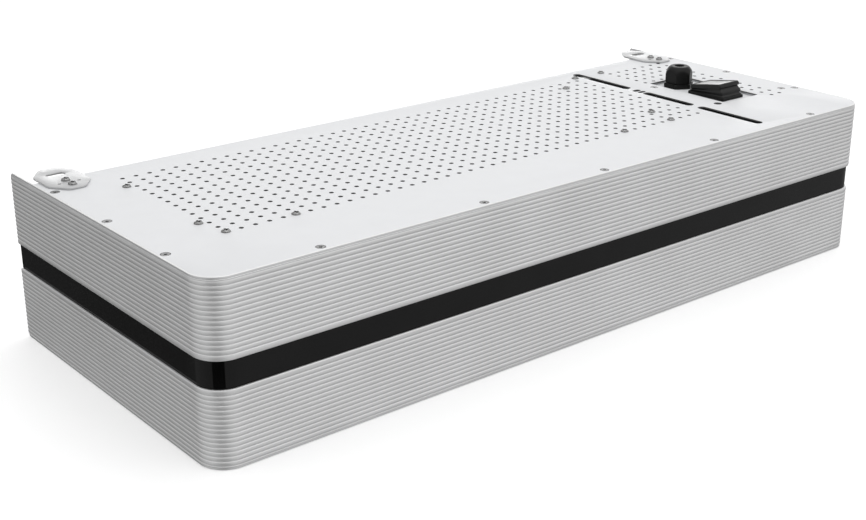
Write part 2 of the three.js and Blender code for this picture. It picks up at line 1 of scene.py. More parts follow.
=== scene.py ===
"""Looks of the wall battery unit: ribbed aluminium wraps, gloss band, perforated cover plate, cable gland,
rocker switch, wall brackets and screws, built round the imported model. Metres, +Z up, front towards -Y."""

import math

import bmesh
import bpy
import numpy as np
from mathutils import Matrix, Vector, geometry


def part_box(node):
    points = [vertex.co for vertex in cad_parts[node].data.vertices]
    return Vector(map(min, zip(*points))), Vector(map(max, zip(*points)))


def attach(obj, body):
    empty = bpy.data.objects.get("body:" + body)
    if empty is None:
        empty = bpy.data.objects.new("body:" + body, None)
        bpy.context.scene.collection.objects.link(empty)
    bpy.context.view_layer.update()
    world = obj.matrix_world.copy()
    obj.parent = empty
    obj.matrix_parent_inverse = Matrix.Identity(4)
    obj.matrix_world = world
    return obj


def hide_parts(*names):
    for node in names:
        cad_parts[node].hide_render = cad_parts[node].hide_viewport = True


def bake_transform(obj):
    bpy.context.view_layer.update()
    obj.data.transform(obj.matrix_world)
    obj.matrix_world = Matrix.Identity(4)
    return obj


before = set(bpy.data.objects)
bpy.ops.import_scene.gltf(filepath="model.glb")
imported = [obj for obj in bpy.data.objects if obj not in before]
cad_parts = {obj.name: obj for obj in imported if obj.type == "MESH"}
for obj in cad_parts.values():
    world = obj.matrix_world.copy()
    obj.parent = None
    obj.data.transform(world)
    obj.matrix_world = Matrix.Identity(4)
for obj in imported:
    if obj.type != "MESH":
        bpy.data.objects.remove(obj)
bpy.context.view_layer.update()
MM = 0.001

# ---------------------------------------------------------------- sizes read from the frame
WRAP_LOW, WRAP_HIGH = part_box("upper_ribbed_wrap")
HALF_LENGTH = WRAP_HIGH.x
HALF_DEPTH = WRAP_HIGH.y
TOP = WRAP_HIGH.z
BAND_HIGH = WRAP_LOW.z
BAND_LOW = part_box("lower_ribbed_wrap")[1].z
PLATE_LOW, PLATE_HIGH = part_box("top_plate")
PLATE_REAR = PLATE_HIGH.y
SHEET = TOP - PLATE_LOW.z
RECESS_FLOOR = TOP - 3.6 * MM

# ---------------------------------------------------------------- driving sizes of the looks
RIBS_PER_WRAP = 17
RIB_PITCH = BAND_LOW / RIBS_PER_WRAP
RIB_CROWN = 0.36 * MM  # how far a rib's face falls away from its middle
GROOVE_DEPTH = 0.8 * MM
GROOVE_SIDE = 0.3 * MM
RIM_STRIP = 1.9 * MM  # plain strip between the rim and the first rib
RIM_STEP = 0.4 * MM
FIRST_GROOVE = 3.4 * MM
SKIN = 2.4 * MM
CORNER = 27.6 * MM
CORNER_STEPS = 28
FLANGE_DEEP = 14 * MM
FIT = 0.1 * MM  # gap between the cover plates and the wraps
BAND_INSET = 2.2 * MM
BAND_THICK = 3 * MM
BAND_LIP = 5 * MM

HOLE = 2.25 * MM  # radius of a perforation
HOLE_SIDES = 12
FIELD_ROWS = np.linspace(-96.5, 100.6, 14) * MM
LEFT_COLUMNS = np.linspace(-371.7, 258.3, 43) * MM
RIGHT_COLUMNS = np.linspace(317.7, 407.7, 7) * MM
FULL_RIGHT_COLUMNS = 2  # of the right block, the columns that run past the recess
SHORT_ROWS = 5  # rows of the right block behind the recess
CLEAR_OF_SCREW = 7.2 * MM  # a perforation nearer than this to a screw is left out
SUNK_HEAD = 4.8 * MM  # radius of a countersink's mouth
SHANK_HOLE = 2.5 * MM  # radius of the holes that the screws' shanks pass

REAR_CUT = 2.6 * MM  # the wraps' rear corners are cut off by this much

SLOT_X = 280.4 * MM
SLOT_WIDE = 11 * MM
SLOT_SPANS = ((-170.3, -79.4), (-69, 23.2), (32.2, 127.6))
BRIDGES = (7.6, 15.4)  # centre lines of the two bridges across the middle slot
HALF_BRIDGE = 1.1
WINDOW = (349.6, 60.3, -85.7, 33.6)  # centre line, width, front edge, rear edge


BRACKET_CUT = (14 * MM, 19 * MM)  # cut off each corner, across and along
BRACKET_SLOT = (20 * MM, 9.5 * MM)
BRACKET_SLOT_Y = 148.3 * MM
BRACKET_HOLE = 1.8 * MM
BRACKET_HOLES = (10.3 * MM, 117.6 * MM)  # to each side of the middle, and their line
OCTAGON = 2 - math.sqrt(2)  # how much of an outline's growth its slanted sides' ends take

GLAND_FLATS = 30 * MM
FOOT_FLATS = 32.6 * MM
GLAND_SIDES = 120
GLAND_BORE = 5.9 * MM
NUT_BORE = 13.4 * MM
THREAD_PITCH = 1.5 * MM
THREAD_DEPTH = 0.9 * MM

FLANGE_TOP = RECESS_FLOOR + 3.6 * MM
PIVOT_Z = RECESS_FLOOR + 2.4 * MM
ROCKER_TOP = 13.5 * MM  # above the pin, with the rocker level
ROCKER_TILT = math.radians(-10)


# ---------------------------------------------------------------- surfaces
def quads(rows, columns, close_rows=False, close_columns=False):
    """Four-cornered faces between neighbouring rows and columns of a grid of points numbered row by row."""
    r = np.arange(rows if close_rows else rows - 1)[:, None]
    c = np.arange(columns if close_columns else columns - 1)[None, :]
    below, right = (r + 1) % rows, (c + 1) % columns
    corners = (r * columns + c, r * columns + right, below * columns + right, below * columns + c)
    return np.stack([np.broadcast_to(k, (r.size, c.size)).ravel() for k in corners], 1)


def grid(points, close_rows=False, close_columns=False):
    """A surface from an array of points shaped (rows, columns, 3)."""
    rows, columns, _ = points.shape
    return points.reshape(-1, 3), quads(rows, columns, close_rows, close_columns).tolist()


def capped(rows):
    """A stack of loops joined by quads, with a flat face over the first loop and over the last."""
    points, faces = grid(rows, close_columns=True)
    count = rows.shape[1]
    return points, faces + [list(range(count)), list(range(len(points) - count, len(points)))]


def together(*surfaces):
    """Several surfaces as one: the points one after another, the faces' numbers moved on to match."""
    points, faces, start = [], [], 0
    for these_points, these_faces in surfaces:
        points.append(these_points)
        faces += [[start + k for k in face] for face in these_faces]
        start += len(these_points)
    return np.concatenate(points), faces


def make(name, surface, finish, body="case", stands_for=(), sharp=35, edge=None):
    """A finished piece: the surface welded, its faces turned outwards, shaded smooth up to the sharp angle.
    edge is (finish, number of the first face that has it)."""
    points, faces = surface
    mesh = bpy.data.meshes.new(name)
    mesh.from_pydata(points.tolist(), [], faces)
    if edge:
        numbers = (np.arange(len(faces)) >= edge[1]).astype(np.int32)
        mesh.polygons.foreach_set("material_index", numbers)
    shell = bmesh.new()
    shell.from_mesh(mesh)
    bmesh.ops.remove_doubles(shell, verts=shell.verts, dist=2e-6)
    bmesh.ops.recalc_face_normals(shell, faces=shell.faces)
    shell.to_mesh(mesh)
    shell.free()
    mesh.shade_smooth()
    mesh.set_sharp_from_angle(angle=math.radians(sharp))
    piece = bpy.data.objects.new(name, mesh)
    bpy.context.scene.collection.objects.link(piece)
    mesh.materials.append(finish)
    if edge:
        mesh.materials.append(edge[0])
    if body:
        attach(piece, body)
    if stands_for:
        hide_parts(*stands_for)
    return piece


# ---------------------------------------------------------------- outlines, as closed loops of (x, y)
def circle(x, y, radius, sides):
    """Points at equal angles round a centre."""
    turn = np.arange(sides) * (2 * math.pi / sides)
    return np.stack([x + radius * np.cos(turn), y + radius * np.sin(turn)], 1)


def rounded_box(x, y, wide, long, radius, steps=4):
    """A rectangle whose corners are quarter circles: each point is its corner's centre plus the radius
    times the direction of its angle."""
    quarter = np.linspace(0, math.pi / 2, steps + 1)
    turn = np.concatenate([quarter + k * math.pi / 2 for k in range(4)])
    side_x = np.repeat([1, -1, -1, 1], steps + 1)
    side_y = np.repeat([1, 1, -1, -1], steps + 1)
    return np.stack(
        [
            x + side_x * (wide / 2 - radius) + radius * np.cos(turn),
            y + side_y * (long / 2 - radius) + radius * np.sin(turn),
        ],
        1,
    )


def softened(corners, radius, steps=3):
    """A polygon with each corner rounded: the corner's two neighbours on its edges, a radius away, joined
    by the curve a(1-t)^2 + 2bt(1-t) + ct^2."""
    corners = np.asarray(corners, float)
    before = np.roll(corners, 1, 0) - corners
    after = np.roll(corners, -1, 0) - corners
    a = corners + before / np.linalg.norm(before, axis=1, keepdims=True) * radius
    c = corners + after / np.linalg.norm(after, axis=1, keepdims=True) * radius
    t = np.linspace(0, 1, steps + 1)[None, :, None]
    curve = a[:, None] * (1 - t) ** 2 + 2 * corners[:, None] * t * (1 - t) + c[:, None] * t**2
    return curve.reshape(-1, 2)


def at_height(loop, z):
    return np.column_stack([loop, np.full(len(loop), z)])


# ---------------------------------------------------------------- the case's plan
def half_plan():
    """The left half of the line round the case and its outward directions: down the left wall, a quarter
    circle, and the start of the front. Two stations share the cover plates' rear edge."""
    centre = np.array([-HALF_LENGTH + CORNER, -HALF_DEPTH + CORNER])
    ease = 0.8 * MM
    wall = np.array([HALF_DEPTH, HALF_DEPTH - REAR_CUT, PLATE_REAR, PLATE_REAR, centre[1] + ease])
    side = np.stack([np.full(len(wall), -HALF_LENGTH), wall], 1)
    turn = np.linspace(math.pi, 1.5 * math.pi, CORNER_STEPS + 1)
    out = np.stack([np.cos(turn), np.sin(turn)], 1)
    bend = centre + CORNER * out
    front = np.array([[centre[0] + ease, -HALF_DEPTH]])
    points = np.concatenate([side, bend, front])
    outward = np.concatenate([np.tile([-1.0, 0.0], (len(wall), 1)), out, [[0.0, -1.0]]])
    return points, outward


def case_plan():
    """The whole line: the left half, then its mirror image in reverse."""
    points, outward = half_plan()
    mirror = np.array([-1.0, 1.0])
    return np.concatenate([points, points[::-1] * mirror]), np.concatenate(
        [outward, outward[::-1] * mirror]
    )


def carried(section, section_at_rear=None, end_heights=None):
    """A closed section of (height, depth behind the face), carried round the case: each point is the
    plan's point less its outward direction times the depth. Behind the cover plates the section is
    section_at_rear, and at its two ends its heights are end_heights. A flat face closes each end."""
    plan, outward = case_plan()
    stations = len(plan)
    depth = np.tile(section[:, 1], (stations, 1))
    if section_at_rear is not None:
        depth[[0, 1, 2, -3, -2, -1]] = section_at_rear[:, 1]
    across = plan[:, None, :] - outward[:, None, :] * depth[:, :, None]
    height = np.tile(section[:, 0], (stations, 1))
    if end_heights is not None:
        height[[0, -1]] = end_heights
    return capped(np.concatenate([across, height[:, :, None]], 2))


# ---------------------------------------------------------------- ribbed wraps and band
def rib(start, end, steps=8):
    """One rib between two grooves, as (distance from the rim, depth): a circular arc that touches the
    case's face in the middle and falls away by the crown, then the steep sides of the two grooves."""
    half = (end - start) / 2
    flat = half - min(GROOVE_SIDE, half / 4)
    radius = (flat**2 + RIB_CROWN**2) / (2 * RIB_CROWN)
    across = np.linspace(-flat, flat, steps + 1)
    depth = radius - np.sqrt(radius**2 - across**2)
    arc = np.stack([start + half + across, depth], 1)
    return np.concatenate([[[start, GROOVE_DEPTH]], arc])


def wrap_section():
    """From the rim to the band's edge and back up the inside: a rounded rim, a plain strip, a narrow
    rib, the full ribs, a last rib that rolls in to the band, and the flange under the cover plate."""
    tall = BAND_LOW
    soft = 0.35 * MM
    turn = np.linspace(0, math.pi / 2, 5)
    rim = np.stack([soft * (1 - np.sin(turn)), RIM_STEP + soft * (1 - np.cos(turn))], 1)[::-1]
    grooves = FIRST_GROOVE + RIB_PITCH * np.arange(RIBS_PER_WRAP - 1)
    ribs = [rib(a, b) for a, b in zip(grooves[:-1], grooves[1:])]
    last = rib(grooves[-1], tall)
    strip = [[RIM_STRIP, RIM_STEP], [RIM_STRIP + 0.1 * MM, GROOVE_DEPTH * 0.8]]
    small = rib(RIM_STRIP + 0.2 * MM, FIRST_GROOVE, steps=6)
    flange = SHEET + 0.3 * MM
    inside = [
        [tall, GROOVE_DEPTH],
        [tall, SKIN],
        [flange + SHEET, SKIN],
        [flange + SHEET, FLANGE_DEEP],
        [flange, FLANGE_DEEP],
        [flange, SKIN],
        [0, SKIN],
    ]
    return np.concatenate([rim, strip, small, *ribs, last, inside])


def ribbed_wrap(name, rim_height, direction, finish):
    section = wrap_section()
    section[:, 0] = rim_height + direction * section[:, 0]
    plain_wall = section.copy()
    plain_wall[:, 1] = np.minimum(section[:, 1], SKIN)
    from_rim = np.abs(section[:, 0] - rim_height)
    kept = np.maximum(from_rim, REAR_CUT + from_rim / 2)
    surface = carried(section, plain_wall, rim_height + direction * kept)
    make(name, surface, finish, stands_for=[name], sharp=50)


def gloss_band(finish):
    """The band's section: a flat face with rounded edges, and a lip behind each wrap."""
    low, high = BAND_LOW + 0.3 * MM, BAND_HIGH - 0.3 * MM
    soft = 0.3 * MM
    turn = np.linspace(0, math.pi / 2, 4)
    upper = np.stack([high - soft * (1 - np.cos(turn)), BAND_INSET + soft * (1 - np.sin(turn))], 1)
    lower = upper[::-1] * [-1, 1] + [low + high, 0]
    front, back = SKIN + 0.3 * MM, BAND_INSET + BAND_THICK
    behind_upper = [[high, front], [high + BAND_LIP, front], [high + BAND_LIP, back]]
    behind_lower = [[low - BAND_LIP, back], [low - BAND_LIP, front], [low, front]]
    section = np.concatenate([behind_lower, lower, upper, behind_upper])
    make("gloss_band", carried(section), finish, stands_for=["gloss_band"], sharp=40)


# ---------------------------------------------------------------- sheets with openings
def rim_stack(loop, high, low, soft, side):
    """A sheet's edge as a stack of loops from the upper face to the lower: loop(grow) is the outline
    grown outwards, and each rounded rim is a quarter circle, cut into two steps. side is -1 for the
    sheet's outline and +1 for an opening in it."""
    turn = np.array([0, math.pi / 4, math.pi / 2])
    grow = soft * (1 - np.sin(turn))
    drop = soft * (1 - np.cos(turn))
    levels = [(side * g, high - d) for g, d in zip(grow, drop)]
    levels += [(side * g, low + d) for g, d in zip(grow[::-1], drop[::-1])]
    return np.stack([at_height(loop(g), z) for g, z in levels])


def small_hole(x, y, radius, sides, high, low, soft=0.25 * MM):
    """A perforation's stack: a chamfered rim and a straight wall."""
    levels = ((radius + soft, high), (radius, high - soft), (radius, low))
    return np.stack([at_height(circle(x, y, r, sides), z) for r, z in levels])


def countersink(x, y, wide, narrow, high, low, sides=24):
    """A countersunk hole's stack: a short straight wall, a cone and the shank's hole."""
    levels = ((wide, high), (wide, high - 0.25 * MM), (narrow, high - (wide - narrow)), (narrow, low))
    return np.stack([at_height(circle(x, y, r, sides), z) for r, z in levels])


def pierced_sheet(outline, openings):
    """A flat sheet. The outline and each opening are stacks of loops shaped (levels, points, 3). Both
    faces are the Delaunay filling between the outline and the openings, and the edges are the quads
    between neighbouring loops of a stack. The second value is the number of the openings' first quad."""
    stacks = [outline, *openings]
    sizes = np.array([s.shape[1] for s in stacks])
    starts = np.concatenate([[0], np.cumsum([s.shape[0] * s.shape[1] for s in stacks])])
    flat_starts = np.concatenate([[0], np.cumsum(sizes)])
    flat = np.concatenate([s[0, :, :2] for s in stacks])
    loops = [list(range(a, a + n)) for a, n in zip(flat_starts, sizes)]
    filled = geometry.delaunay_2d_cdt([Vector(p) for p in flat], [], loops, 1, 1e-9)
    number = np.array([origin[0] for origin in filled[3]])
    inside = [face for face, origin in zip(filled[2], filled[5]) if list(origin) == [0]]
    triangles = number[np.array(inside)]
    stack_of = np.repeat(np.arange(len(stacks)), sizes)
    within = np.arange(len(flat)) - flat_starts[stack_of]
    upper = starts[stack_of] + within
    last = np.array([s.shape[0] - 1 for s in stacks]) * sizes
    lower = upper + last[stack_of]
    faces = upper[triangles].tolist() + lower[triangles].tolist()
    for stack, start in zip(stacks, starts):
        if start == sizes[0] * outline.shape[0]:
            first_wall = len(faces)
        faces += (quads(stack.shape[0], stack.shape[1], close_columns=True) + start).tolist()
    return (np.concatenate([s.reshape(-1, 3) for s in stacks]), faces), first_wall


def cover_outline(high, low):
    """A cover plate's edge: the case's plan inside the wraps, closed straight across at the rear."""
    plan, outward = case_plan()
    inside = slice(3, -3)

    def loop(grow):
        at = plan[inside] - outward[inside] * (SKIN + FIT - grow)
        at[[0, -1], 1] += grow
        return at

    return rim_stack(loop, high, low, 0.3 * MM, -1)


def screw_spots(kind):
    """Centres of the screws whose names start with one of the given words."""
    names = sorted(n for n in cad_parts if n.startswith(tuple(kind)))
    boxes = [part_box(n) for n in names]
    return {n: ((a.x + b.x) / 2, (a.y + b.y) / 2, b.z) for n, (a, b) in zip(names, boxes)}


def perforations():
    """Centres of the perforations: the left block's full grid, the rows behind the recess, and the
    right block's last columns beside it, less those taken by a screw."""
    left = np.array(np.meshgrid(LEFT_COLUMNS, FIELD_ROWS)).reshape(2, -1).T
    rear = np.array(np.meshgrid(RIGHT_COLUMNS, FIELD_ROWS[-SHORT_ROWS:])).reshape(2, -1).T
    beside = (RIGHT_COLUMNS[-FULL_RIGHT_COLUMNS:], FIELD_ROWS[:-SHORT_ROWS])
    right = np.array(np.meshgrid(*beside)).reshape(2, -1).T
    spots = np.concatenate([left, rear, right])
    taken = np.array([[x, y] for x, y, _ in screw_spots(RAISED_SCREWS + SUNK_SCREWS).values()])
    apart = np.linalg.norm(spots[:, None] - taken[None], axis=2).min(1)
    return spots[apart > CLEAR_OF_SCREW]


def slot_stacks():
    """The three slots, the middle one divided by its two bridges."""
    cuts = [list(span) for span in SLOT_SPANS]
    front, rear = cuts[1]
    cuts[1:2] = [
        [front, BRIDGES[0] - HALF_BRIDGE],
        [BRIDGES[0] + HALF_BRIDGE, BRIDGES[1] - HALF_BRIDGE],
        [BRIDGES[1] + HALF_BRIDGE, rear],
    ]
    stacks = []
    for front, rear in cuts:
        long = (rear - front) * MM
        middle = (rear + front) / 2 * MM
        radius = min(SLOT_WIDE, long) / 2 * 0.9

        def loop(grow, long=long, middle=middle, radius=radius):
            return rounded_box(
                SLOT_X, middle, SLOT_WIDE + 2 * grow, long + 2 * grow, radius + grow, steps=6
            )

        stacks.append(rim_stack(loop, TOP, TOP - SHEET, 0.2 * MM, 1))
    return stacks


def window_stack():
    x, wide, front, rear = (k * MM for k in WINDOW)

    def loop(grow):
        return rounded_box(
            x, (front + rear) / 2, wide + 2 * grow, rear - front + 2 * grow, 1.2 * MM + grow
        )

    return rim_stack(loop, TOP, TOP - SHEET, 0.25 * MM, 1)


def top_plate(finish, painted_shade_wall):
    low = TOP - SHEET
    openings = [small_hole(x, y, HOLE, HOLE_SIDES, TOP, low) for x, y in perforations()]
    openings += slot_stacks() + [window_stack()]
    sunk, raised = screw_spots(SUNK_SCREWS).values(), screw_spots(RAISED_SCREWS).values()
    openings += [countersink(x, y, SUNK_HEAD, SHANK_HOLE, TOP, low) for x, y, _ in sunk]
    openings += [small_hole(x, y, SHANK_HOLE, HOLE_SIDES, TOP, low) for x, y, _ in raised]
    sheet, first_wall = pierced_sheet(cover_outline(TOP, low), openings)
    # The walls of all the openings take a dark grey finish that is painted shade, standing in for the shade
    # inside them.
    edge = (painted_shade_wall, first_wall)
    make("top_plate", sheet, finish, stands_for=["top_plate"], edge=edge)


def bottom_plate(finish):
    sheet = capped(cover_outline(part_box("bottom_plate")[1].z, 0))
    make("bottom_plate", sheet, finish, stands_for=["bottom_plate"])


def wall_bracket(name, finish):
    """An octagonal plate with softened corners, a slot across its rear half, and two small holes beside
    its screws."""
    low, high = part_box(name)
    x, y = (low.x + high.x) / 2, (low.y + high.y) / 2
    half_wide, half_long = (high.x - low.x) / 2, (high.y - low.y) / 2

    def outline(grow):
        a, b = half_wide + grow, half_long + grow
        c, d = a - BRACKET_CUT[0] - OCTAGON * grow, b - BRACKET_CUT[1] - OCTAGON * grow
        corners = [[a, -d], [a, d], [c, b], [-c, b], [-a, d], [-a, -d], [-c, -b], [c, -b]]
        return softened(np.array(corners) + [x, y], 3.2 * MM)

    def slot(grow):
        wide, tall = BRACKET_SLOT[0] + 2 * grow, BRACKET_SLOT[1] + 2 * grow
        return rounded_box(x, BRACKET_SLOT_Y, wide, tall, tall * 0.48, steps=5)

    openings = [rim_stack(slot, high.z, low.z, 0.25 * MM, 1)]
    aside, line = BRACKET_HOLES
    for hole_x in (x - aside, x + aside):
        openings.append(small_hole(hole_x, line, BRACKET_HOLE, 16, high.z, low.z))
    for spot_x, spot_y, _ in screw_spots([name.replace("wall_bracket", "bracket_screw")]).values():
        openings.append(small_hole(spot_x, spot_y, SHANK_HOLE, 16, high.z, low.z))
    sheet, _ = pierced_sheet(rim_stack(outline, high.z, low.z, 0.35 * MM, -1), openings)
    make(name, sheet, finish, stands_for=[name])


# ---------------------------------------------------------------- screws
SUNK_SCREWS = ["left_edge_screw", "front_edge_screw", "right_edge_screw", "tray_screw"]
RAISED_SCREWS = [
    "left_bulkhead_screw",
    "rail_screw",
    "right_bulkhead_screw",
    "bracket_board_screw",
    "left_bracket_screw",
    "right_bracket_screw",
]


def cross_outline(half_arm, reach):
    """Angles and radii of a plus sign: within each quarter turn the radius is the smaller of
    reach / cos(angle) and half_arm / sin(angle)."""
    tip = math.atan2(half_arm, reach)
    between = (tip + math.pi / 4) / 2
    quarter = np.array([-tip, 0, tip, between, math.pi / 4, math.pi / 2 - between])
    turn = np.concatenate([quarter + k * math.pi / 2 for k in range(4)])
    folded = (turn + math.pi / 4) % (math.pi / 2) - math.pi / 4
    sine = np.maximum(np.abs(np.sin(folded)), 1e-6)
    return turn, np.minimum(reach / np.cos(folded), half_arm / sine)


def hexagon_outline(flats, sides=24):
    """Angles and radii of a hexagon: half the width across flats over the cosine of the angle from the
    middle of the nearest side."""
    turn = np.arange(sides) * (2 * math.pi / sides)
    folded = (turn + math.pi / 6) % (math.pi / 3) - math.pi / 6
    return turn, flats / 2 / np.cos(folded)


def screw(name, x, y, top, profile, outline, socket_top, socket_floor, finish):
    """A screw: rings of the turned profile, given as (radius, height below the head's top), up to the
    head's face, then rings with the socket's outline down to its floor and in to its centre."""
    turn, radius = outline
    turned = [(np.full(len(turn), r), top + z) for r, z in profile]
    socket = [
        (radius * 1.12, socket_top),
        (radius, socket_top - 0.12 * MM),
        (radius * 0.92, socket_floor),
        (radius * 0, socket_floor),
    ]
    rings = turned + [(r, z) for r, z in socket]
    points = np.stack(
        [
            np.stack([x + r * np.cos(turn), y + r * np.sin(turn), np.full(len(turn), z)], 1)
            for r, z in rings
        ]
    )
    make(name, grid(points, close_columns=True), finish, stands_for=[name], sharp=28)


def sunk_screw(name, spot, finish):
    """A countersunk screw with a six-sided socket, its face just below the sheet."""
    x, y, top = spot
    drop = [(0, -9), (2.0, -9), (2.2, -8.8), (2.2, -2.35), (4.3, -0.28), (4.42, -0.12), (4.25, 0)]
    profile = [(r * MM, z * MM) for r, z in drop]
    screw(name, x, y, top, profile, hexagon_outline(2.9 * MM), top, top - 1.4 * MM, finish)


def raised_screw(name, spot, finish):
    """A button-headed screw with a cross recess: the head is an arc over a short rim."""
    x, y, top = spot
    high, wide = 2.35 * MM, 4.5 * MM
    seat = top - 2.6 * MM + 0.2 * MM
    turn = np.linspace(0, 1, 7)[:-1]
    radius = wide * np.cos(turn * math.pi / 2 * 0.98) * 0.98
    rise = seat + 0.4 * MM + (high - 0.4 * MM) * np.sin(turn * math.pi / 2 * 0.98)
    shank = [(0, -11.4), (2.2, -11.4)]
    profile = [(r * MM, z * MM) for r, z in shank] + [(2.2 * MM, seat - top), (wide, seat - top)]
    profile += [(r, z - top) for r, z in zip(radius, rise)]
    keep = profile[:4] + [p for p in profile[4:] if p[0] > 3.1 * MM]
    outline = cross_outline(0.75 * MM, 2.6 * MM)
    face = top - 0.3 * MM
    screw(name, x, y, top, keep, outline, face, face - 1.7 * MM, finish)


def screws(flush_finish, raised_finish):
    for name, spot in screw_spots(SUNK_SCREWS).items():
        sunk_screw(name, spot, flush_finish)
    for name, spot in screw_spots(RAISED_SCREWS).items():
        raised_screw(name, spot, raised_finish)


# ---------------------------------------------------------------- cable gland
GLAND_LOW, GLAND_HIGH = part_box("gland_dome_nut")
GLAND_X = (GLAND_LOW.x + GLAND_HIGH.x) / 2
GLAND_Y = (GLAND_LOW.y + GLAND_HIGH.y) / 2


def soft_least(a, b, blend):
    """The smaller of two lengths, with the crossing rounded over the blend width."""
    h = np.clip(0.5 + (b - a) / (2 * blend), 0, 1)
    return b * (1 - h) + a * h - blend * h * (1 - h)


def turned_rings(profile, radius_at, closed=False):
    """Rings about the gland's axis: radius_at(angles, radius, height) says how the round is cut."""
    turn = np.arange(GLAND_SIDES) * (2 * math.pi / GLAND_SIDES)
    rows = []
    for radius, height in profile:
        r = radius_at(turn, radius, height)
        loop = np.stack([GLAND_X + r * np.cos(turn), GLAND_Y + r * np.sin(turn)], 1)
        rows.append(at_height(loop, height))
    return grid(np.stack(rows), close_rows=closed, close_columns=True)


def hexagonal(turn, radius, flats):
    """A circle of the radius cut by a hexagon of the width across flats."""
    folded = (turn + math.pi / 6) % (math.pi / 3) - math.pi / 6
    return soft_least(radius, flats / 2 / np.cos(folded), 0.35 * MM)


def dome_nut(finish):
    """The outside is the smaller of a six-sided prism and a dome whose radius falls from the corner's to
    the flat ring's as (1 - u^1.2)^0.6, u being the share of its height. The inside is a round mouth over
    a wider thread."""
    low, high = GLAND_LOW.z, GLAND_HIGH.z
    shoulder = high - 9.5 * MM
    corner = GLAND_FLATS / math.sqrt(3)
    ring = 10.4 * MM
    share = np.sin(np.linspace(0, math.pi / 2, 14))
    dome_radius = ring + (corner + 0.1 * MM - ring) * (1 - share**1.2) ** 0.6
    dome_height = shoulder + (high - shoulder) * share
    foot = ((-0.9, 0), (-0.1, 0.9), (0.1, 1.6))
    outside = [(corner + r * MM, low + z * MM) for r, z in foot]
    outside += list(zip(dome_radius, dome_height))
    lip, turn = 1.0 * MM, np.linspace(0, math.pi / 2, 5)
    outside += list(zip(GLAND_BORE + lip * (1 - np.sin(turn)), high - lip * (1 - np.cos(turn))))
    inside = [(GLAND_BORE, high - 5.0 * MM), (NUT_BORE, high - 6.8 * MM), (NUT_BORE, low)]

    def cut(angles, radius, height):
        if radius <= GLAND_BORE + 1.5 * MM or radius == NUT_BORE:
            return np.full(angles.shape, radius)
        return hexagonal(angles, radius, GLAND_FLATS)

    surface = turned_rings(outside + inside, cut, closed=True)
    make("gland_dome_nut", surface, finish, "gland_nut", ["gland_dome_nut"], sharp=45)


def gland_body(finish):
    """A six-sided foot over the tray and a threaded barrel under it: the thread's radius is the barrel's
    less a triangle wave of height minus turn."""
    low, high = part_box("gland_body")
    foot_top = GLAND_LOW.z - 0.3 * MM
    foot = RECESS_FLOOR + 0.05 * MM
    spigot = 13.0 * MM
    barrel = 12.3 * MM
    thread_heights = np.arange(low.z + 0.6 * MM, foot - 0.4 * MM, THREAD_PITCH / 6)
    outer = [(11.4 * MM, low.z)] + [(barrel, z) for z in thread_heights] + [(11.4 * MM, foot)]
    edge = FOOT_FLATS / math.sqrt(3)
    outer += [(edge - 0.9 * MM, foot), (edge, foot + 0.7 * MM), (edge, foot_top - 0.8 * MM)]
    outer += [(edge - 1.2 * MM, foot_top), (spigot, foot_top), (spigot, high.z - 0.6 * MM)]
    outer += [(12.4 * MM, high.z), (11.0 * MM, high.z), (10.8 * MM, high.z - 9.9 * MM)]
    outer += [(8.5 * MM, high.z - 10 * MM), (8.5 * MM, low.z)]

    def cut(angles, radius, height):
        if radius == barrel:
            phase = (height / THREAD_PITCH - angles / (2 * math.pi)) % 1
            return barrel - THREAD_DEPTH * np.abs(2 * phase - 1)
        if radius > spigot + 0.1 * MM:
            return hexagonal(angles, radius, FOOT_FLATS)
        return np.full(angles.shape, radius)

    surface = turned_rings(outer, cut, closed=True)
    make("gland_body", surface, finish, stands_for=["gland_body"], sharp=45)


def gland_seal(finish):
    """A rubber sleeve whose bore is ribbed: its radius goes in and out as a sine of the height."""
    low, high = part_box("gland_seal")
    heights = np.linspace(low.z + 0.4 * MM, high.z - 0.4 * MM, 40)
    bore = GLAND_BORE + 0.35 * MM * np.sin((heights - low.z) * (2 * math.pi / (2.2 * MM)))
    profile = [(10.1 * MM, low.z), (10.4 * MM, low.z + 0.4 * MM), (10.4 * MM, high.z - 0.4 * MM)]
    profile += [(10.0 * MM, high.z), (6.6 * MM, high.z)]
    profile += list(zip(bore[::-1], heights[::-1])) + [(6.6 * MM, low.z)]

    def cut(angles, radius, height):
        return np.full(angles.shape, radius)

    surface = turned_rings(profile, cut, closed=True)
    make("gland_seal", surface, finish, stands_for=["gland_seal"])


# ---------------------------------------------------------------- rocker switch
BEZEL_LOW, BEZEL_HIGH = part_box("switch_bezel")
SWITCH_X = (BEZEL_LOW.x + BEZEL_HIGH.x) / 2
SWITCH_Y = (BEZEL_LOW.y + BEZEL_HIGH.y) / 2


def stacked(levels, x, y, corner_steps=6):
    """Rounded rectangles one above another, as (width, length, corner radius, height)."""
    rows = [
        at_height(rounded_box(x, y, wide * MM, long * MM, radius * MM, corner_steps), height)
        for wide, long, radius, height in levels
    ]
    return np.stack(rows)


def switch_bezel(finish):
    """The switch's fixed part, outside then inside: a box under the tray, a thick flange with a bevelled
    rim, and the well that the rocker's hub tips in."""
    floor = RECESS_FLOOR + 0.05 * MM
    low = BEZEL_LOW.z
    levels = [
        (26, 44, 1.0, low),
        (26, 44, 1.0, floor),
        (37.2, 54.8, 1.4, floor),
        (38.0, 55.6, 1.8, floor + 0.5 * MM),
        (38.0, 55.6, 1.8, FLANGE_TOP - 0.9 * MM),
        (37.4, 55.0, 1.6, FLANGE_TOP - 0.25 * MM),
        (36.6, 54.2, 1.4, FLANGE_TOP),
        (21.0, 39.0, 0.8, FLANGE_TOP),
        (21.0, 39.0, 0.8, low + 8 * MM),
        (0.5, 10.0, 0.2, low + 8 * MM),
    ]
    surface = capped(stacked(levels, SWITCH_X, SWITCH_Y))
    make("switch_bezel", surface, finish, stands_for=["switch_bezel"])


